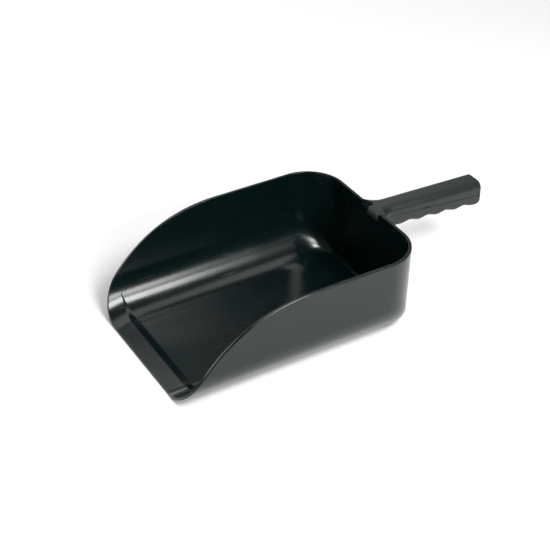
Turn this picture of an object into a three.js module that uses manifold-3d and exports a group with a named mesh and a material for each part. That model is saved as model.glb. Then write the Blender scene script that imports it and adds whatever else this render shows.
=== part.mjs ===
// A moulded plastic feed scoop: an open-fronted bowl and a hollow handle of two half shells.
// Millimetres. X runs from the lip to the end of the handle, Y across, Z up from the resting plane.
// While the pieces are drawn X = 0 is the lip; the group then moves the origin under the middle.
import * as THREE from "three";
import { mergeVertices } from "three/addons/utils/BufferGeometryUtils.js";
import Module from "manifold-3d";

// Bowl
const BOWL_LENGTH = 270; // lip to the outside of the rear wall, at the rim
const BOWL_WIDTH = 199; // outside, at the rim
const BOWL_HEIGHT = 94.9;
const WALL = 3.4;
const FLOOR = 2.7;
const WALL_DRAFT = 0.025; // the walls lean out by this much for each millimetre of height
const CORNER_RADIUS = 43; // rear corners seen from above, outside
const BOTTOM_RADIUS = 42.5; // between the side walls and the floor, outside
const REAR_RADIUS = 7.9; // between the rear wall and the floor, outside
const CORNER_STEPS = 12;
const BOTTOM_STEPS = 12;

// Lip and side profile: the rim sweeps down from full height to the lip
const LIP_THICKNESS = 2;
const SWEEP_LENGTH = 138; // lip to where the rim is level
const SWEEP_STEEP = new THREE.Vector2(1.6, 14.4); // control point that sets the steep start
const SWEEP_LEVEL = 39.2; // where the control point of the level end lies
const SWEEP_STEPS = 26;
const STRIP_DEPTH = 17; // lip to the ridge of the thickened strip
const STRIP_HEIGHT = 4.6; // at its ridge
const STEP_DEPTH = 8.6; // run of the slope from the ridge back to the floor

// Handle
const HANDLE_LENGTH = 130.5; // outside of the rear wall to the end
const HANDLE_WIDTH = 24.2; // at the root
const HANDLE_FLARE = 2.2; // how much wider it is at the end
const HANDLE_DROP = 0.3; // top of the root below the rim
const HANDLE_DEPTH = 24.8; // top to the underside of the swellings, at the root
const TOP_SLOPE = 0.045; // fall of the top for each millimetre of length
const UNDERSIDE_SLOPE = 0.072;
const JOINT_SLOPE = 0.084;
const JOINT_DEPTH = 10; // top of the handle to the joint of the two shells, at the root
const SHOULDER_RADIUS = 7.5;
const SHOULDER_STEPS = 5;
const ROOT_RADIUS = 18; // concave, where the sides of the handle spread into the rear wall
const ROOT_STEPS = 4;
const END_RADIUS = 8;
const SHELL = 3;
const ROOT_THICKNESS = 4.6; // solid part of the handle behind the rear wall

// Finger grooves on the underside
const GROOVES = 4;
const GROOVE_PITCH = 23.1;
const GROOVE_DEPTH = 2.3;
const FIRST_GROOVE = 41; // from the rear wall
const GROOVE_STEPS = 8;

// Blade slot in the joint, on the near side
const SLOT_CENTRE = 60; // from the rear wall
const SLOT_LENGTH = 11;
const SLOT_HEIGHT = 0.9;

// Tongue over the rear rim, the notch that it lies in, and the jaw inside the bowl
const NOTCH_NEAR = -17.3;
const NOTCH_FAR = 15;
const NOTCH_DEPTH = 4.6;
const TONGUE_FAR = 1; // the tongue leaves the far part of the notch open
const JAW_REACH = 3; // how far the jaw's ramp comes forward
const JAW_RAMP = 4.5; // how far it comes down
const JAW_HEIGHT = 8.6;
const POCKET_REACH = 4.4; // open pocket in the root beside the tongue

const GAP = 0.3; // between pieces that touch
const MARGIN = 10; // by which cutting bodies overshoot

// Derived places
const OVERALL_LENGTH = BOWL_LENGTH + HANDLE_LENGTH;
const HANDLE_TOP = BOWL_HEIGHT - HANDLE_DROP;
const FIRST_SWELLING = FIRST_GROOVE - GROOVE_PITCH / 2;
const LAST_SWELLING = FIRST_GROOVE + (GROOVES - 0.5) * GROOVE_PITCH;

const wasm = await Module();
wasm.setup();

// ---------------------------------------------------------------- solids

// A closed geometry as a body that can be joined and cut.
function bodyOf(geometry) {
  geometry.deleteAttribute("normal");
  geometry.deleteAttribute("uv");
  const merged = mergeVertices(geometry, 1e-4);
  const mesh = new wasm.Mesh({
    numProp: 3,
    vertProperties: merged.getAttribute("position").array,
    triVerts: new Uint32Array(merged.index.array),
  });
  return new wasm.Manifold(mesh);
}

// A finished body as a named mesh.
function meshOf(name, body, material) {
  const { vertProperties, triVerts } = body.getMesh();
  const geometry = new THREE.BufferGeometry();
  geometry.setAttribute("position", new THREE.BufferAttribute(vertProperties, 3));
  geometry.setIndex(new THREE.BufferAttribute(triVerts, 1));
  geometry.computeVertexNormals();
  const mesh = new THREE.Mesh(geometry, material);
  mesh.name = name;
  return mesh;
}

// A prism of a side outline (X right, Z up) from one Y to another.
function sidePrism(outline, fromY, toY) {
  const geometry = new THREE.ExtrudeGeometry(outline, {
    depth: toY - fromY,
    bevelEnabled: false,
    curveSegments: SWEEP_STEPS,
  });
  geometry.rotateX(Math.PI / 2);
  geometry.translate(0, toY, 0);
  return bodyOf(geometry);
}

// A prism of a plan outline (X right, Y up) from one Z to another.
function planPrism(outline, fromZ, toZ) {
  const geometry = new THREE.ExtrudeGeometry(outline, { depth: toZ - fromZ, bevelEnabled: false });
  geometry.translate(0, 0, fromZ);
  return bodyOf(geometry);
}

// A shape with straight edges through the given [x, y] corners.
function polygon(corners) {
  return new THREE.Shape(corners.map(([x, y]) => new THREE.Vector2(x, y)));
}

// Moves every vertex of a geometry by a rule that gets and changes a Vector3.
function reshape(geometry, rule) {
  const position = geometry.getAttribute("position");
  const point = new THREE.Vector3();
  for (let i = 0; i < position.count; i += 1) {
    point.fromBufferAttribute(position, i);
    rule(point);
    position.setXYZ(i, point.x, point.y, point.z);
  }
}

// ---------------------------------------------------------------- bowl

// The outside radius of the bottom edge, for an angle round a rear corner from its side to its rear.
function bottomRadius(bend) {
  const share = THREE.MathUtils.smoothstep(bend, 0, Math.PI / 2);
  return THREE.MathUtils.lerp(BOTTOM_RADIUS, REAR_RADIUS, share);
}

// The line up a tray's wall at an angle round a rear corner: the bottom round, then the top end.
function wallLine(bend, offset, bottom) {
  const radius = bottomRadius(bend) - offset;
  const upright = CORNER_RADIUS - offset;
  const place = (reach, height) => {
    const x = BOWL_LENGTH - CORNER_RADIUS + reach * Math.sin(bend);
    const y = BOWL_WIDTH / 2 - CORNER_RADIUS + reach * Math.cos(bend);
    return new THREE.Vector3(x, y, height);
  };
  const line = [place(upright, BOWL_HEIGHT + MARGIN)];
  for (let i = 0; i <= BOTTOM_STEPS; i += 1) {
    const turn = (i * Math.PI) / 2 / BOTTOM_STEPS;
    line.push(place(upright - radius * (1 - Math.sin(turn)), bottom + radius * (1 - Math.cos(turn))));
  }
  return line;
}

// A tray with a round bottom edge and rear corners, set in by an offset on all sides.
// It runs past the lip and above the rim, where the front cut trims it.
function tray(offset, bottom) {
  const points = wallLine(0, offset, bottom).map(({ y, z }) => new THREE.Vector3(-MARGIN, y, z));
  for (let i = 0; i <= CORNER_STEPS; i += 1) {
    points.push(...wallLine((i * Math.PI) / 2 / CORNER_STEPS, offset, bottom));
  }
  const level = bottom + BOTTOM_RADIUS - offset;
  const corners = points.flatMap(({ x, y, z }) => {
    const sideLean = WALL_DRAFT * (BOWL_HEIGHT - Math.max(z, level));
    const rearLean = WALL_DRAFT * (BOWL_HEIGHT - z);
    const leaningX = x - (rearLean * x) / BOWL_LENGTH;
    const leaningY = y - (sideLean * y) / (BOWL_WIDTH / 2);
    return [
      [leaningX, leaningY, z],
      [leaningX, -leaningY, z],
    ];
  });
  return wasm.Manifold.hull(corners);
}

// Everything in front of and above the rim.
function aboveRim() {
  const high = 2 * BOWL_HEIGHT;
  const rear = BOWL_LENGTH + MARGIN;
  const outline = new THREE.Shape();
  outline.moveTo(0, -MARGIN);
  outline.lineTo(0, LIP_THICKNESS);
  outline.bezierCurveTo(
    SWEEP_STEEP.x,
    SWEEP_STEEP.y,
    SWEEP_LEVEL,
    BOWL_HEIGHT,
    SWEEP_LENGTH,
    BOWL_HEIGHT,
  );
  outline.lineTo(rear, BOWL_HEIGHT);
  outline.lineTo(rear, high);
  outline.lineTo(-rear, high);
  outline.lineTo(-rear, -MARGIN);
  return sidePrism(outline, -BOWL_WIDTH, BOWL_WIDTH);
}

// The thickened strip behind the lip, as the wedge that the bowl's hollow leaves standing.
function lipStrip() {
  const outline = polygon([
    [-MARGIN, -MARGIN],
    [STRIP_DEPTH + STEP_DEPTH, -MARGIN],
    [STRIP_DEPTH + STEP_DEPTH, FLOOR],
    [STRIP_DEPTH, STRIP_HEIGHT],
    [0, LIP_THICKNESS],
    [-MARGIN, LIP_THICKNESS],
  ]);
  return sidePrism(outline, -BOWL_WIDTH, BOWL_WIDTH);
}

// The notch in the rear rim.
function rimNotch() {
  const inside = BOWL_LENGTH - WALL - MARGIN;
  const outside = BOWL_LENGTH + MARGIN;
  const outline = polygon([
    [inside, NOTCH_NEAR],
    [outside, NOTCH_NEAR],
    [outside, NOTCH_FAR],
    [inside, NOTCH_FAR],
  ]);
  return planPrism(outline, BOWL_HEIGHT - NOTCH_DEPTH, BOWL_HEIGHT + MARGIN);
}

function bowl() {
  const hollow = tray(WALL, FLOOR).subtract(lipStrip());
  return tray(0, 0).subtract(hollow).subtract(aboveRim()).subtract(rimNotch());
}

// ---------------------------------------------------------------- handle

// Places along the handle are measured from the outside of the rear wall.
const along = (distance) => BOWL_LENGTH + distance;
const topAt = (distance) => HANDLE_TOP - TOP_SLOPE * distance;
const jointAt = (distance) => HANDLE_TOP - JOINT_DEPTH - JOINT_SLOPE * distance;
const swellingAt = (distance) => HANDLE_TOP - HANDLE_DEPTH - UNDERSIDE_SLOPE * distance;
const halfWidthAt = (distance) => (HANDLE_WIDTH + (HANDLE_FLARE * distance) / HANDLE_LENGTH) / 2;

// The outside of the rear wall at a height, with the gap to the handle.
const rearFaceAt = (height) => BOWL_LENGTH - WALL_DRAFT * (BOWL_HEIGHT - height) + GAP;

// Underside height: a wave of grooves and swellings.
function undersideAt(distance) {
  const phase = (2 * Math.PI * (distance - FIRST_GROOVE)) / GROOVE_PITCH;
  return swellingAt(distance) + (GROOVE_DEPTH * (1 + Math.cos(phase))) / 2;
}

// The handle seen from above, as a tall form with rounded top edges that follow the sloping top.
// The outline spreads by a concave arc at the root when it is given a radius.
function planForm(offset, rootRadius) {
  const shoulder = SHOULDER_RADIUS - offset;
  const near = along(-SHOULDER_RADIUS - 2 * MARGIN);
  const far = HANDLE_LENGTH + MARGIN;
  const root = halfWidthAt(0) - offset;
  const end = halfWidthAt(far) - offset;
  const plan = new THREE.Shape();
  plan.moveTo(along(far), -end);
  plan.lineTo(along(far), end);
  if (rootRadius > 0) {
    const arcX = along(rootRadius) + GAP;
    plan.absarc(arcX, root + rootRadius, rootRadius, -Math.PI / 2, -Math.PI, true);
    plan.lineTo(near, root + rootRadius);
    plan.lineTo(near, -root - rootRadius);
    plan.absarc(arcX, -root - rootRadius, rootRadius, Math.PI, Math.PI / 2, true);
  } else {
    plan.lineTo(near, root);
    plan.lineTo(near, -root);
  }
  const geometry = new THREE.ExtrudeGeometry(plan, {
    depth: BOWL_HEIGHT,
    curveSegments: ROOT_STEPS,
    bevelThickness: shoulder,
    bevelSize: shoulder,
    bevelOffset: -shoulder,
    bevelSegments: SHOULDER_STEPS,
  });
  geometry.translate(0, 0, topAt(0) - offset - shoulder - BOWL_HEIGHT);
  reshape(geometry, (point) => {
    point.z -= TOP_SLOPE * (point.x - BOWL_LENGTH);
  });
  return bodyOf(geometry);
}

// The handle seen from the side: straight top, grooved underside, rounded lower end corner.
function sideForm() {
  const outline = new THREE.Shape();
  const endBottom = undersideAt(HANDLE_LENGTH - END_RADIUS);
  const high = BOWL_HEIGHT + MARGIN;
  outline.moveTo(rearFaceAt(high), high);
  outline.lineTo(rearFaceAt(swellingAt(0)), swellingAt(0));
  const steps = GROOVES * GROOVE_STEPS;
  for (let i = 0; i <= steps; i += 1) {
    const distance = FIRST_SWELLING + ((LAST_SWELLING - FIRST_SWELLING) * i) / steps;
    outline.lineTo(along(distance), undersideAt(distance));
  }
  const end = along(HANDLE_LENGTH);
  outline.quadraticCurveTo(end, endBottom, end, endBottom + END_RADIUS);
  outline.lineTo(end, high);
  return sidePrism(outline, -BOWL_WIDTH / 2, BOWL_WIDTH / 2);
}

// The hollow inside both shells.
function handleHollow() {
  const start = ROOT_THICKNESS;
  const end = HANDLE_LENGTH - SHELL;
  const clearOfGrooves = GROOVE_DEPTH + SHELL;
  const outline = polygon([
    [along(start), swellingAt(start) + clearOfGrooves],
    [along(end), swellingAt(end) + clearOfGrooves],
    [along(end), BOWL_HEIGHT],
    [along(start), BOWL_HEIGHT],
  ]);
  return planForm(SHELL, 0).intersect(sidePrism(outline, -BOWL_WIDTH / 2, BOWL_WIDTH / 2));
}

// Everything above the joint of the two shells, raised by an offset, or everything below it.
function besideJoint(offset, limit) {
  const far = HANDLE_LENGTH + MARGIN;
  const corners = [
    [along(-MARGIN), jointAt(-MARGIN) + offset],
    [along(far), jointAt(far) + offset],
    [along(far), limit],
    [along(-MARGIN), limit],
  ];
  return sidePrism(polygon(corners), -BOWL_WIDTH / 2, BOWL_WIDTH / 2);
}

// The slot for a blade, cut into the lower edge of the upper shell on the near side.
function bladeSlot() {
  const from = SLOT_CENTRE - SLOT_LENGTH / 2;
  const to = SLOT_CENTRE + SLOT_LENGTH / 2;
  const corners = [
    [along(from), jointAt(from) - SLOT_HEIGHT],
    [along(to), jointAt(to) - SLOT_HEIGHT],
    [along(to), jointAt(to) + SLOT_HEIGHT],
    [along(from), jointAt(from) + SLOT_HEIGHT],
  ];
  return sidePrism(polygon(corners), -HANDLE_WIDTH, -HANDLE_WIDTH / 2 + SHELL);
}

// The tongue that lies in the rim notch and the ramped jaw inside the rear wall.
function tongueAndJaw() {
  const wallInside = BOWL_LENGTH - WALL - GAP;
  const draftInside = WALL_DRAFT * JAW_HEIGHT;
  const outline = polygon([
    [along(ROOT_THICKNESS), topAt(ROOT_THICKNESS)],
    [wallInside, topAt(0)],
    [wallInside - JAW_REACH, topAt(0) - JAW_RAMP],
    [wallInside - JAW_REACH, topAt(0) - JAW_HEIGHT + JAW_REACH / 2],
    [wallInside - draftInside, topAt(0) - JAW_HEIGHT],
    [wallInside - draftInside, BOWL_HEIGHT - NOTCH_DEPTH + GAP],
    [along(ROOT_THICKNESS), BOWL_HEIGHT - NOTCH_DEPTH + GAP],
  ]);
  return sidePrism(outline, NOTCH_NEAR + GAP, TONGUE_FAR);
}

// The three-cornered pocket in the top of the root, beside the tongue.
function rootPocket() {
  const outline = polygon([
    [along(0), TONGUE_FAR],
    [along(POCKET_REACH), TONGUE_FAR + POCKET_REACH],
    [along(0), NOTCH_FAR - GAP],
  ]);
  return planPrism(outline, BOWL_HEIGHT - NOTCH_DEPTH + GAP, BOWL_HEIGHT + MARGIN);
}

function handleShells() {
  const form = planForm(0, ROOT_RADIUS).intersect(sideForm());
  const hollow = handleHollow();
  const upper = form
    .intersect(besideJoint(GAP / 2, BOWL_HEIGHT + MARGIN))
    .subtract(hollow)
    .subtract(bladeSlot())
    .add(tongueAndJaw())
    .subtract(rootPocket());
  const lower = form.intersect(besideJoint(-GAP / 2, 0)).subtract(hollow);
  return { upper, lower };
}

// ---------------------------------------------------------------- materials

function blackPlastic() {
  return new THREE.MeshStandardMaterial({ color: 0x14191a, roughness: 0.32, metalness: 0 });
}

function gripPlastic() {
  return new THREE.MeshStandardMaterial({ color: 0x2b2f31, roughness: 0.55, metalness: 0 });
}

// ---------------------------------------------------------------- assembly

const shells = handleShells();
const scoop = new THREE.Group();
scoop.name = "feed_scoop";
scoop.add(meshOf("scoop_bowl", bowl(), blackPlastic()));
scoop.add(meshOf("handle_upper_shell", shells.upper, gripPlastic()));
scoop.add(meshOf("handle_grip_shell", shells.lower, gripPlastic()));
scoop.position.x = -OVERALL_LENGTH / 2;

export default scoop;
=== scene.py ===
import math

import bmesh
import bpy
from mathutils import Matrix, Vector


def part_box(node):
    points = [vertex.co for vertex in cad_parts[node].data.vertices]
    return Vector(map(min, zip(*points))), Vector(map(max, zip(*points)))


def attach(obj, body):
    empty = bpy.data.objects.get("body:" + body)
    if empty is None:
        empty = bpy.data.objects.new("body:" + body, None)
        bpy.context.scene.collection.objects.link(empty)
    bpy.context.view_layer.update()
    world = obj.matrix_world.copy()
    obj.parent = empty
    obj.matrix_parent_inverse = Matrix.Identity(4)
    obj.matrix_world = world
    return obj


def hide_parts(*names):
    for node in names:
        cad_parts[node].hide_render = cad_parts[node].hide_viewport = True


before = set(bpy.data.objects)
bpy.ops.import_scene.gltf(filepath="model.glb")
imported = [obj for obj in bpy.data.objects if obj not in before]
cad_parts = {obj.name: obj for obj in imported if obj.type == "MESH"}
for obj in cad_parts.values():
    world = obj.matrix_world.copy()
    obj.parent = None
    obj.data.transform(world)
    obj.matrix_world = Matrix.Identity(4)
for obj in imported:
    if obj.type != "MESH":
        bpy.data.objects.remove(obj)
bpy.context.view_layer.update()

MM = 0.001
RIGHT_ANGLE = math.pi / 2
WELD = 0.002 * MM  # points of a mesh that are closer than this become one
OVERSHOOT = 3 * MM  # of a cutting body past what it cuts
CREASE = math.radians(35)  # edges that are sharper than this are shaded as edges

# ---------------------------------------------------------------- sizes

BOWL_LOW, BOWL_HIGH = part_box("scoop_bowl")
UPPER_LOW, UPPER_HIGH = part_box("handle_upper_shell")
LIP = BOWL_LOW.x
LENGTH = BOWL_HIGH.x - LIP
HALF_WIDTH = BOWL_HIGH.y
HEIGHT = BOWL_HIGH.z
REAR = BOWL_HIGH.x
HANDLE_LENGTH = UPPER_HIGH.x - REAR

# Bowl
WALL = 3.4 * MM
FLOOR = 2.7 * MM
DRAFT = 0.025  # the walls lean out by this share of their height
ROUND = 43 * MM  # rear corners seen from above and the edges between side walls and floor
REAR_ROUND = 4.5 * MM  # inside, between rear wall and floor
RIM_OUTER_ROUND = 1.3 * MM
RIM_INNER_ROUND = 0.35 * MM

# Rim sweep, measured from the lip and up from the table
LIP_THICKNESS = 2 * MM
SWEEP = (
    Vector((0, LIP_THICKNESS)),
    Vector((1.6 * MM, 14.4 * MM)),
    Vector((39.2 * MM, HEIGHT)),
    Vector((138 * MM, HEIGHT)),
)

# Strip behind the lip: it rises to a ridge, then slopes back to the floor
RIDGE_AT = 17.6 * MM
RIDGE_RISE = 1.9 * MM
SLOPE_END = 25.6 * MM
APEX_AT = 21.8 * MM  # where ridge and slope meet
APEX_TURN = math.radians(58)  # how far up the side fillets that is
LEAST_SLOPE = 0.01 * MM  # run of the slope at the apex
RIDGE_ROUND = 0.3 * MM
LIP_ROUND = 0.5 * MM

# Handle, measured from the outside of the rear wall
HANDLE_WIDTH = 24.2 * MM
HANDLE_FLARE = 2.2 * MM
HANDLE_DROP = 0.3 * MM
HANDLE_DEPTH = 24.8 * MM
TOP_SLOPE = 0.045
UNDERSIDE_SLOPE = 0.072
JOINT_SLOPE = 0.084
JOINT_DEPTH = 10 * MM
SHOULDER = 7.5 * MM
UNDER_EDGE = 5.5 * MM
UNDER_EDGE_AT_END = 1.5 * MM
ROOT_RADIUS = 18 * MM
ROOT_GAP = 0.06 * MM
END_RADIUS = 8 * MM
END_EDGE = 0.7 * MM
GROOVES = 4
GROOVE_PITCH = 23.1 * MM
GROOVE_DEPTH = 2.3 * MM
FIRST_GROOVE = 41 * MM
SEAM = 0.12 * MM
SEAM_EDGE = 0.25 * MM
SLOT_CENTRE = 60 * MM
SLOT_LENGTH = 11 * MM
SLOT_HEIGHT = 0.9 * MM
SLOT_DEPTH = 3 * MM

# Tongue over the rear rim, its notch and the pocket beside it
NOTCH_NEAR = -17.3 * MM
NOTCH_FAR = 15 * MM
NOTCH_DEPTH = 4.6 * MM
TONGUE_FAR = 1 * MM
TONGUE_GAP = 0.3 * MM
TONGUE_ROOT = 4 * MM  # how far back it reaches into the handle
SEAT_GAP = 0.1 * MM  # between it and the wall it lies on
JAW_REACH = 3 * MM
JAW_RAMP = 4.5 * MM
JAW_HEIGHT = 8.6 * MM
POCKET_REACH = 4.4 * MM
POCKET_FRONT = -0.5 * MM


def lerp(a, b, t):
    return a + (b - a) * t


def steps(count):
    """Numbers from 0 to 1 in that many even steps."""
    return [i / count for i in range(count + 1)]


def quarter(count):
    """Angles from 0 to a right angle in that many even steps."""
    return [t * RIGHT_ANGLE for t in steps(count)]


# ---------------------------------------------------------------- meshes

def add_grid(bm, rows):
    """Quads between neighbouring rows of points."""
    made = [[bm.verts.new(point) for point in row] for row in rows]
    for first, second in zip(made, made[1:]):
        for a, b, c, d in zip(first, first[1:], second[1:], second):
            bm.faces.new((a, b, c, d))


def add_face(bm, points):
    bm.faces.new([bm.verts.new(point) for point in points])


def add_prism(bm, near, far):
    """The body between two rings of points that are alike."""
    add_face(bm, near)
    add_face(bm, far)
    add_grid(bm, [[*near, near[0]], [*far, far[0]]])


def add_side_prism(bm, outline, near, far):
    """A prism of a side outline, [(x, z), ...], from one Y to another."""
    add_prism(bm, *[[Vector((x, y, z)) for x, z in outline] for y in (near, far)])


def mesh_of(name, build):
    """The closed mesh that build() puts into a bmesh, its pieces joined where they touch."""
    bm = bmesh.new()
    build(bm)
    bmesh.ops.remove_doubles(bm, verts=bm.verts, dist=WELD)
    bmesh.ops.recalc_face_normals(bm, faces=bm.faces)
    mesh = bpy.data.meshes.new(name)
    bm.to_mesh(mesh)
    bm.free()
    return mesh


def show(name, mesh):
    piece = bpy.data.objects.new(name, mesh)
    bpy.context.scene.collection.objects.link(piece)
    return piece


def combine(piece, operation, build):
    """Joins the body that build() makes to a piece, or cuts the piece by it."""
    tool = show(piece.name + "_tool", mesh_of("tool", build))
    modifier = piece.modifiers.new("combine", "BOOLEAN")
    modifier.operation = operation
    modifier.solver = "MANIFOLD"
    modifier.object = tool
    done = piece.evaluated_get(bpy.context.evaluated_depsgraph_get())
    mesh = bpy.data.meshes.new_from_object(done)
    piece.modifiers.clear()
    piece.data = mesh
    bpy.data.objects.remove(tool)


def finish_piece(piece, node, material):
    """Material, shading and the piece's place in the frame."""
    piece.data.materials.clear()
    piece.data.materials.append(material)
    piece.data.shade_smooth()
    piece.data.set_sharp_from_angle(angle=CREASE)
    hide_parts(node)
    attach(piece, "root")


# ---------------------------------------------------------------- bowl

# A place in the wall is (turn, inset). The turn is the angle up the round between floor and wall, and
# goes on up the wall as height over the radius. The inset is the distance in from the outside face.
WALL_ROWS = 58
FLOOR_COLUMNS = 40
STRIP_COLUMNS = 34
STRIP_MARGIN = 1 * MM  # by which those columns overlap the strip
SWEEP_COLUMNS = 60
SWEEP_CLEARANCE = 0.4 * MM  # between them and those of the strip
STRAIGHT_COLUMNS = 26
JOIN_COLUMNS = 8
CORNER_COLUMNS = 36


def level_of(inset):
    """Height at which the round ends and the wall begins."""
    return ROUND - inset + FLOOR * inset / WALL


def across(turn, inset):
    """Distance in from the outline, and height, of a place in the wall before the draft."""
    radius = ROUND - inset
    if turn > RIGHT_ANGLE:
        return inset, level_of(inset) + (turn - RIGHT_ANGLE) * ROUND
    return ROUND - radius * math.sin(turn), level_of(inset) - radius * math.cos(turn)


def turn_at(height, inset):
    """The turn at which the wall has a height."""
    over = height - level_of(inset)
    if over > 0:
        return RIGHT_ANGLE + over / ROUND
    return math.acos(min(1.0, -over / (ROUND - inset)))


def brought_in(y, height, inset):
    """Where the draft of a side wall leaves a place across the bowl; it stops at the round."""
    return y * (1 - DRAFT * (HEIGHT - max(height, level_of(inset))) / HALF_WIDTH)


def brought_forward(x, height):
    """Where the draft of the rear wall leaves a place along the bowl."""
    return x * (1 - DRAFT * (HEIGHT - height) / LENGTH)


def soft_min(a, b):
    """The lesser of two heights, rounded where they are close."""
    close = max(0.0, 1 - abs(a - b) / RIDGE_ROUND)
    return min(a, b) - close * close * RIDGE_ROUND / 4


def rise_at(x, turn):
    """Rise of the lip strip over the inner face."""
    fade = max(0.0, 1 - turn / APEX_TURN)
    ridge = lerp(APEX_AT, RIDGE_AT, fade)
    end = lerp(APEX_AT, SLOPE_END, fade) + LEAST_SLOPE
    ramp = lerp(LIP_THICKNESS - FLOOR, RIDGE_RISE, x / ridge)
    slope = RIDGE_RISE * (end - x) / (end - ridge)
    strip = soft_min(ramp, slope)
    return fade * (-soft_min(-strip, 0.0) if x > ridge else strip)


def side_point(x, share, turn, inset):
    """A point of the floor or a side wall. Share is -1 or 1 at the sides, and between them on the floor."""
    distance_in, height = across(turn, inset)
    y = brought_in(share * (HALF_WIDTH - distance_in), height, inset)
    rise = rise_at(x, turn) * inset / WALL
    up = min(turn, RIGHT_ANGLE)
    return Vector((LIP + x, y - share * rise * math.sin(up), height + rise * math.cos(up)))


def bottom_round(bend, inset):
    """Radius between wall and floor round a rear corner: wide at the side, tight at the rear."""
    t = bend / RIGHT_ANGLE
    return lerp(ROUND, REAR_ROUND + WALL, t * t * (3 - 2 * t)) - inset


def rear_point(bend, share, turn, inset):
    """A point of a rear corner, or of the rear wall and its round when the bend is a right angle."""
    radius = bottom_round(bend, inset)
    up = min(turn, RIGHT_ANGLE)
    reach = ROUND - inset - radius * (1 - math.sin(up))
    x = LENGTH - ROUND + reach * math.sin(bend)
    y = share * (HALF_WIDTH - ROUND + reach * math.cos(bend))
    z = across(0.0, inset)[1] + radius * (1 - math.cos(up))
    if turn > up:
        level = level_of(inset)
        z = lerp(z, HEIGHT, (across(turn, inset)[1] - level) / (HEIGHT - level))
    return Vector((LIP + brought_forward(x, z), brought_in(y, z, inset), z))


def sweep_at(t):
    """Point of the rim curve and the direction out of the material there, as (x, height)."""
    a, b, c, d = SWEEP
    s = 1 - t
    point = a * s**3 + b * 3 * s * s * t + c * 3 * s * t * t + d * t**3
    run = (b - a) * s * s + (c - b) * 2 * s * t + (d - c) * t * t
    run.normalize()
    return point, Vector((-run.y, run.x))


def sweep_where(axis, value):
    """The same, where x (axis 0) or the height (axis 1) has a value."""
    low, high = 0.0, 1.0
    for _ in range(40):
        middle = (low + high) / 2
        if sweep_at(middle)[0][axis] < value:
            low = middle
        else:
            high = middle
    return sweep_at(low)


def front_at(height):
    """Where the front edge is at a height, and the direction out of it."""
    if height <= LIP_THICKNESS:
        return Vector((0, height)), Vector((-1, 0))
    return sweep_where(1, height)


def rim_profile(turn):
    """(inset, depth below the edge) across the edge, from the outer to the inner face."""
    outer = lerp(LIP_ROUND, RIM_OUTER_ROUND, min(1.0, turn))
    inner = lerp(LIP_ROUND, RIM_INNER_ROUND, min(1.0, turn))
    outside = [(outer * (1 - math.cos(a)), outer * (1 - math.sin(a))) for a in quarter(6)]
    level = [(lerp(outer, WALL - inner, t), 0.0) for t in steps(3)[1:-1]]
    inside = [(WALL - inner * (1 - math.sin(a)), inner * (1 - math.cos(a))) for a in quarter(4)]
    return outside + level + inside


def edge_places(crest_turn, crest=None):
    """Places (x, turn, inset) across the swept edge; crest is its point and direction high up."""
    places = []
    for inset, depth in rim_profile(crest_turn):
        point, out = crest or front_at(across(crest_turn, inset)[1])
        point = point - out * depth
        places.append((point.x, turn_at(point.y, inset), inset))
    return places


def level_places(station):
    """The same across the level edge of a side wall."""
    places = []
    for inset, depth in rim_profile(RIGHT_ANGLE):
        height = HEIGHT - depth
        places.append((brought_forward(station, height), turn_at(height, inset), inset))
    return places


def side_stations():
    """Distances from the lip of the columns of a side wall, close together at the lip strip."""
    front, back = RIDGE_AT - STRIP_MARGIN, SLOPE_END + STRIP_MARGIN
    strip = [lerp(front, back, t) for t in steps(STRIP_COLUMNS)]
    sweep = [sweep_at(t)[0].x for t in steps(SWEEP_COLUMNS)[1:]]
    sweep = [x for x in sweep if not front - SWEEP_CLEARANCE <= x <= back + SWEEP_CLEARANCE]
    straight = [lerp(SWEEP[3].x, LENGTH - ROUND, t) for t in steps(STRAIGHT_COLUMNS)[1:]]
    return sorted(sweep + strip) + straight


def round_the_section(top):
    """(share, turn) from the edge of one side wall down, over the floor and up to the other edge."""
    falling = [(-1, top * (1 - t)) for t in steps(WALL_ROWS)[:-1]]
    level = [(lerp(-1, 1, t), 0.0) for t in steps(FLOOR_COLUMNS)]
    rising = [(1, top * t) for t in steps(WALL_ROWS)[1:]]
    return falling + level + rising


def add_lip(bm):
    """The front edge, from one side wall round the lip to the other."""
    lip = [[side_point(x, share, turn, inset) for x, turn, inset in edge_places(turn)]
           for share, turn in round_the_section(turn_at(LIP_THICKNESS, 0))]
    add_grid(bm, lip)
    return lip


def add_sides(bm, lip):
    """Floor and side walls, station by station behind the lip, with the edge on both sides."""
    inner_rows = [[section[-1] for section in lip]]
    outer_rows = [[section[0] for section in lip]]
    edges = {-1: [lip[0]], 1: [lip[-1]]}
    for station in side_stations():
        crest = sweep_where(0, station)
        crest_turn = turn_at(crest[0].y, 0)
        if station >= SWEEP[3].x:
            places = level_places(station)
        else:
            places = edge_places(crest_turn, crest if crest_turn > RIGHT_ANGLE else None)
        for side in (-1, 1):
            edges[side].append([side_point(x, side, turn, inset) for x, turn, inset in places])
        for rows, (x, top, inset) in ((inner_rows, places[-1]), (outer_rows, places[0])):
            start = x / brought_forward(1, across(top, inset)[1])
            rows.append([side_point(brought_forward(start, across(turn, inset)[1]), share, turn, inset)
                         for share, turn in round_the_section(top)])
    for rows in (inner_rows, outer_rows, edges[-1], edges[1]):
        add_grid(bm, rows)


def add_rear_edge(bm, profile):
    """The edge of the rear wall and both corners."""
    route = [(bend, -1) for bend in quarter(CORNER_COLUMNS)]
    route += [(RIGHT_ANGLE, lerp(-1, 1, t)) for t in steps(FLOOR_COLUMNS)[1:-1]]
    route += [(bend, 1) for bend in quarter(CORNER_COLUMNS)[::-1]]
    add_grid(bm, [[rear_point(bend, share, turn_at(HEIGHT - depth, inset), inset)
                   for inset, depth in profile] for bend, share in route])


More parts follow.
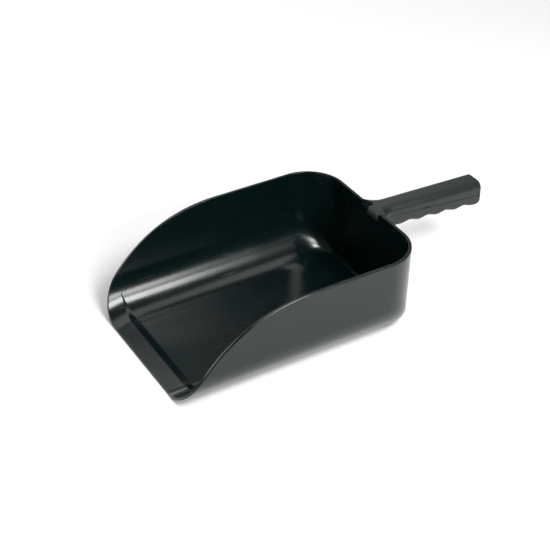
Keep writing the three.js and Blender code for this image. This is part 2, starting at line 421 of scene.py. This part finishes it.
def add_rear_face(bm, inset, top):
    """The outer or inner face of the corners, with the floor between them, and of the rear wall."""
    rows = []
    for share, turn in round_the_section(top):
        curve = [rear_point(bend, share, turn, inset) for bend in quarter(CORNER_COLUMNS)]
        straight_end = brought_forward(LENGTH - ROUND, across(turn, inset)[1])
        straight = side_point(straight_end, share, turn, inset)
        rows.append([straight.lerp(curve[0], t) for t in steps(JOIN_COLUMNS)[:-1]] + curve)
    add_grid(bm, rows)
    add_grid(bm, [[rear_point(RIGHT_ANGLE, lerp(-1, 1, t), top * (1 - row), inset)
                   for t in steps(FLOOR_COLUMNS)] for row in steps(WALL_ROWS)])


def build_bowl(bm):
    add_sides(bm, add_lip(bm))
    profile = rim_profile(RIGHT_ANGLE)
    add_rear_edge(bm, profile)
    for inset, depth in (profile[0], profile[-1]):
        add_rear_face(bm, inset, turn_at(HEIGHT - depth, inset))


def build_notch(bm):
    """The gap in the rear rim that the tongue lies in."""
    inside, outside = REAR - WALL - OVERSHOOT, REAR + OVERSHOOT
    low, high = HEIGHT - NOTCH_DEPTH, HEIGHT + OVERSHOOT
    outline = [(inside, low), (outside, low), (outside, high), (inside, high)]
    add_side_prism(bm, outline, NOTCH_NEAR, NOTCH_FAR)


# ---------------------------------------------------------------- handle

# Places along the handle are measured from the outside of the rear wall.
HANDLE_TOP = HEIGHT - HANDLE_DROP
FIRST_SWELLING = FIRST_GROOVE - GROOVE_PITCH / 2
LAST_SWELLING = FIRST_GROOVE + (GROOVES - 0.5) * GROOVE_PITCH
STRAIGHT_FROM = ROOT_GAP + ROOT_RADIUS
ROOT_COLUMNS = 16
HANDLE_COLUMNS = 110
CROWDING = 0.15  # share by which the columns crowd towards the end
END_COLUMNS = 5
EDGE_ROWS = 12
SIDE_ROWS = 5
FLAT_ROWS = 10


def top_at(s):
    return HANDLE_TOP - TOP_SLOPE * s


def joint_at(s):
    return HANDLE_TOP - JOINT_DEPTH - JOINT_SLOPE * s


def underside_at(s):
    height = HANDLE_TOP - HANDLE_DEPTH - UNDERSIDE_SLOPE * s
    if FIRST_SWELLING < s < LAST_SWELLING:
        phase = 2 * math.pi * (s - FIRST_GROOVE) / GROOVE_PITCH
        height += GROOVE_DEPTH * (1 + math.cos(phase)) / 2
    into_end = max(0.0, s - (HANDLE_LENGTH - END_RADIUS)) / END_RADIUS
    return height + END_RADIUS * (1 - math.sqrt(1 - min(1.0, into_end) ** 2))


def half_width_at(s):
    return (HANDLE_WIDTH + HANDLE_FLARE * s / HANDLE_LENGTH) / 2


def handle_stations():
    """(kind, value, shrink): a share of the root's spread, or a place along with its end rounding."""
    last = HANDLE_LENGTH - END_EDGE
    stations = [("root", t, 0.0) for t in steps(ROOT_COLUMNS)[:-1]]
    stations += [("along", lerp(STRAIGHT_FROM, last, lerp(t, math.sin(t * RIGHT_ANGLE), CROWDING)), 0.0)
                 for t in steps(HANDLE_COLUMNS)]
    stations += [("along", last + END_EDGE * math.sin(a), END_EDGE * (1 - math.cos(a)))
                 for a in quarter(END_COLUMNS)[1:]]
    return stations


def handle_place(station, inset, side, height_of):
    """A point of the handle at a station and an inset; height_of gives the height at a distance."""
    kind, value, shrink = station
    inset += shrink
    if kind == "along":
        return Vector((REAR + value, side * (half_width_at(value) - inset), height_of(value)))
    radius = ROOT_RADIUS + inset
    angle = lerp(math.acos(ROOT_RADIUS / radius), RIGHT_ANGLE, value)
    s = STRAIGHT_FROM - radius * math.cos(angle)
    y = half_width_at(STRAIGHT_FROM) + ROOT_RADIUS - radius * math.sin(angle)
    height = height_of(s)
    lean = DRAFT * (HEIGHT - height) * (1 - value)
    return Vector((REAR + s - lean, side * y, height))


def shell_rows(station, side, edge, outer_at, joint_offset, up):
    """Points of one side of a shell, from the joint to where its rounded edge meets the flat."""
    shrink = station[2]
    points = [handle_place(station, SEAM_EDGE, side, lambda s: joint_at(s) + joint_offset)]
    radius = edge - shrink

    def side_height(t):
        low = lambda s: joint_at(s) + joint_offset + up * SEAM_EDGE
        high = lambda s: outer_at(s) - up * edge
        return lambda s: lerp(low(s), high(s), t)

    for t in steps(SIDE_ROWS)[:-1]:
        points.append(handle_place(station, 0.0, side, side_height(t)))
    for a in quarter(EDGE_ROWS):
        inset = radius * (1 - math.cos(a))
        drop = shrink + radius * (1 - math.sin(a))
        points.append(handle_place(station, inset, side, lambda s: outer_at(s) - up * drop))
    return points


def build_shell(bm, edge_at, outer_at, up):
    """A half shell above (up is 1) or below (up is -1) the joint; it is closed along the joint."""
    rows = []
    for station in handle_stations():
        along = station[1] if station[0] == "along" else 0.0
        near, far = [shell_rows(station, side, edge_at(along), outer_at, up * SEAM, up) for side in (-1, 1)]
        flat = [near[-1].lerp(far[-1], t) for t in steps(FLAT_ROWS)[1:-1]]
        rows.append(near + flat + far[::-1])
    add_grid(bm, rows)
    add_grid(bm, [[row[0], row[-1]] for row in rows])
    add_face(bm, rows[0])
    add_face(bm, rows[-1])


def under_edge_at(s):
    """The lower edges are rounder along the grip than at its end."""
    into_end = max(0.0, s - (HANDLE_LENGTH - END_RADIUS)) / END_RADIUS
    return lerp(UNDER_EDGE, UNDER_EDGE_AT_END, min(1.0, into_end))


def build_upper_shell(bm):
    build_shell(bm, lambda s: SHOULDER, top_at, 1)


def build_grip_shell(bm):
    build_shell(bm, under_edge_at, underside_at, -1)


def build_slot(bm):
    """The slot for a blade, in the joint on the near side."""
    start, end = SLOT_CENTRE - SLOT_LENGTH / 2, SLOT_CENTRE + SLOT_LENGTH / 2
    outline = [(REAR + s, joint_at(s) + h * SLOT_HEIGHT)
               for s, h in ((start, -1), (end, -1), (end, 1), (start, 1))]
    add_side_prism(bm, outline, -HANDLE_WIDTH, SLOT_DEPTH - HANDLE_WIDTH / 2)


def build_tongue(bm):
    """The tongue through the notch, and the ramped jaw inside the bowl."""
    inside = REAR - WALL - SEAT_GAP
    lean = DRAFT * JAW_HEIGHT
    seat = HEIGHT - NOTCH_DEPTH + SEAT_GAP
    outline = [
        (REAR + TONGUE_ROOT, top_at(TONGUE_ROOT)),
        (inside, HANDLE_TOP),
        (inside - JAW_REACH, HANDLE_TOP - JAW_RAMP),
        (inside - JAW_REACH, HANDLE_TOP - JAW_HEIGHT + JAW_REACH / 2),
        (inside - lean, HANDLE_TOP - JAW_HEIGHT),
        (inside - lean, seat),
        (REAR + TONGUE_ROOT, seat),
    ]
    add_side_prism(bm, outline, NOTCH_NEAR + TONGUE_GAP, TONGUE_FAR)


def build_pocket(bm):
    """The three-cornered pocket in the top of the root, beside the tongue."""
    corners = [
        (REAR + POCKET_FRONT, TONGUE_FAR),
        (REAR + POCKET_REACH, TONGUE_FAR + POCKET_REACH),
        (REAR + POCKET_FRONT, NOTCH_FAR - TONGUE_GAP),
    ]
    heights = (HEIGHT - NOTCH_DEPTH, HEIGHT + OVERSHOOT)
    add_prism(bm, *[[Vector((x, y, z)) for x, y in corners] for z in heights])


# ---------------------------------------------------------------- materials

CLOUD_SCALE = 30  # of noise, for each metre
GRAIN_SCALE = 900
GRAIN_DEPTH = 0.05 * MM
SCRATCH_SCALE = 1100
SCRATCH_STRETCH = 0.04  # along the scoop
SCRATCH_RANGE = (0.67, 0.8)  # of the noise, from no scratch to the middle of one
SCRATCH_ROUGHNESS = 0.25
GLOSS_SPREAD = (0.8, 1.2)  # shares of the roughness
TINT_SPREAD = (0.8, 1.25)  # shares of the colour


def noise(tree, vector, scale, detail):
    node = tree.nodes.new("ShaderNodeTexNoise")
    node.inputs["Scale"].default_value = scale
    node.inputs["Detail"].default_value = detail
    tree.links.new(vector, node.inputs["Vector"])
    return node.outputs["Fac"]


def ranged(tree, value, low, high, new_low, new_high):
    """A value taken from the range low to high into a new range, and held within it."""
    node = tree.nodes.new("ShaderNodeMapRange")
    for label, number in (("From Min", low), ("From Max", high), ("To Min", new_low), ("To Max", new_high)):
        node.inputs[label].default_value = number
    tree.links.new(value, node.inputs["Value"])
    return node.outputs["Result"]


def tinted(tree, factor, colour, low, high):
    """The colour, made darker or lighter from one share to another by the factor."""
    node = tree.nodes.new("ShaderNodeMix")
    node.data_type = "RGBA"
    node.inputs["A"].default_value = (*[c * low for c in colour], 1)
    node.inputs["B"].default_value = (*[c * high for c in colour], 1)
    tree.links.new(factor, node.inputs["Factor"])
    return node.outputs["Result"]


def scratches(tree, place):
    """1 on fine scratches along the scoop, 0 beside them."""
    stretch = tree.nodes.new("ShaderNodeMapping")
    stretch.inputs["Scale"].default_value = (SCRATCH_STRETCH, 1, 1)
    tree.links.new(place, stretch.inputs["Vector"])
    streaks = noise(tree, stretch.outputs["Vector"], SCRATCH_SCALE, 1)
    return ranged(tree, streaks, *SCRATCH_RANGE, 0, 1)


def plastic(name, colour, roughness, grain):
    """Black moulded plastic: near-black, its gloss clouded a little, with a faint grain and scratches."""
    material = bpy.data.materials.new(name)
    material.use_nodes = True
    tree = material.node_tree
    shader = tree.nodes["Principled BSDF"]
    shader.inputs["IOR"].default_value = 1.5
    place = tree.nodes.new("ShaderNodeTexCoord").outputs["Object"]

    cloud = noise(tree, place, CLOUD_SCALE, 5)
    scratched = scratches(tree, place)
    rough = tree.nodes.new("ShaderNodeMath")
    tree.links.new(ranged(tree, cloud, 0, 1, *[roughness * share for share in GLOSS_SPREAD]), rough.inputs[0])
    tree.links.new(ranged(tree, scratched, 0, 1, 0, SCRATCH_ROUGHNESS), rough.inputs[1])
    tree.links.new(rough.outputs["Value"], shader.inputs["Roughness"])
    tree.links.new(tinted(tree, cloud, colour, *TINT_SPREAD), shader.inputs["Base Color"])

    relief = tree.nodes.new("ShaderNodeMath")
    relief.operation = "SUBTRACT"
    tree.links.new(noise(tree, place, GRAIN_SCALE, 2), relief.inputs[0])
    tree.links.new(scratched, relief.inputs[1])
    bump = tree.nodes.new("ShaderNodeBump")
    bump.inputs["Strength"].default_value = grain
    bump.inputs["Distance"].default_value = GRAIN_DEPTH
    tree.links.new(relief.outputs["Value"], bump.inputs["Height"])
    tree.links.new(bump.outputs["Normal"], shader.inputs["Normal"])
    return material


# ---------------------------------------------------------------- the scoop

bowl_plastic = plastic("bowl_plastic", (0.001, 0.0055, 0.0053), roughness=0.2, grain=0.1)
handle_plastic = plastic("handle_plastic", (0.003, 0.007, 0.0068), roughness=0.42, grain=0.2)

bowl = show("scoop_bowl_moulding", mesh_of("scoop_bowl_moulding", build_bowl))
combine(bowl, "DIFFERENCE", build_notch)
finish_piece(bowl, "scoop_bowl", bowl_plastic)

upper = show("handle_upper_moulding", mesh_of("handle_upper_moulding", build_upper_shell))
combine(upper, "DIFFERENCE", build_slot)
combine(upper, "UNION", build_tongue)
combine(upper, "DIFFERENCE", build_pocket)
finish_piece(upper, "handle_upper_shell", handle_plastic)

grip = show("handle_grip_moulding", mesh_of("handle_grip_moulding", build_grip_shell))
finish_piece(grip, "handle_grip_shell", handle_plastic)


# ---------------------------------------------------------------- stage

HALF_FLOOR = 6.0
CAMERA_TARGET = Vector((LIP + 153.3 * MM, 0, 49.66 * MM))
CAMERA_DISTANCE = 1415 * MM
CAMERA_AZIMUTH = -30.596
CAMERA_ELEVATION = 35.329
SENSOR_WIDTH = 36
LENS = 91.57


def direction(azimuth, elevation):
    """Unit vector from the object towards a place round it; azimuth 0 is the -Y side."""
    a, e = math.radians(azimuth), math.radians(elevation)
    return Vector((math.sin(a) * math.cos(e), -math.cos(a) * math.cos(e), math.sin(e)))


def aim(item, target):
    item.rotation_euler = (target - item.location).to_track_quat("-Z", "Y").to_euler()


def softbox(name, place, width, height, brightness, facing=(LENGTH / 2, 0, HEIGHT / 2)):
    """An area light that faces the bowl or another place, both places measured from the lip."""
    lamp = bpy.data.lights.new(name, "AREA")
    lamp.shape = "RECTANGLE"
    lamp.size, lamp.size_y = width, height
    lamp.energy = brightness * math.pi * width * height
    item = bpy.data.objects.new(name, lamp)
    bpy.context.scene.collection.objects.link(item)
    item.location = Vector((LIP, 0, 0)) + Vector(place)
    aim(item, Vector((LIP, 0, 0)) + Vector(facing))


def make_floor():
    """A wide pale floor under the scoop."""
    mesh = bpy.data.meshes.new("floor")
    corners = [(x * HALF_FLOOR, y * HALF_FLOOR, 0) for x, y in ((-1, -1), (1, -1), (1, 1), (-1, 1))]
    mesh.from_pydata(corners, [], [(0, 1, 2, 3)])
    floor = show("floor", mesh)
    material = bpy.data.materials.new("pale_floor")
    material.use_nodes = True
    shader = material.node_tree.nodes["Principled BSDF"]
    shader.inputs["Base Color"].default_value = (0.9, 0.9, 0.9, 1)
    shader.inputs["Roughness"].default_value = 0.9
    shader.inputs["Specular IOR Level"].default_value = 0.0
    mesh.materials.append(material)


def make_camera():
    camera = bpy.data.objects.new("camera", bpy.data.cameras.new("camera"))
    bpy.context.scene.collection.objects.link(camera)
    camera.data.sensor_width = SENSOR_WIDTH
    camera.data.lens = LENS
    camera.location = CAMERA_TARGET + direction(CAMERA_AZIMUTH, CAMERA_ELEVATION) * CAMERA_DISTANCE
    aim(camera, CAMERA_TARGET)
    bpy.context.scene.camera = camera


def make_world():
    """A dim white surrounding, shown without a film curve."""
    world = bpy.data.worlds.new("white_studio")
    world.use_nodes = True
    background = world.node_tree.nodes["Background"]
    background.inputs["Color"].default_value = (1, 1, 1, 1)
    background.inputs["Strength"].default_value = 0.12
    bpy.context.scene.world = world
    bpy.context.scene.view_settings.view_transform = "Standard"


make_floor()
make_camera()
make_world()

# Two keys on the camera's side; the dimmer rest fills in and keeps the floor white behind the scoop.
softbox("key_upper", (0.33, -0.782, 1.076), width=0.57, height=0.37, brightness=22)
softbox("key_lower", (0.25, -1.103, 0.744), width=0.7, height=0.32, brightness=15)
softbox("top", (0.5, 0.56, 1.39), width=2.0, height=0.8, brightness=1.5)
softbox("backdrop", (0.83, 1.4, 1.0), width=2.6, height=1.4, brightness=0.1)
softbox("far_left", (-1.3, 1.8, 1.1), width=2.2, height=1.2, brightness=1.4)
softbox("floor_wash", (-0.1, 1.9, 0.75), width=3.8, height=0.9, brightness=2.2, facing=(-0.1, 1.5, 0))
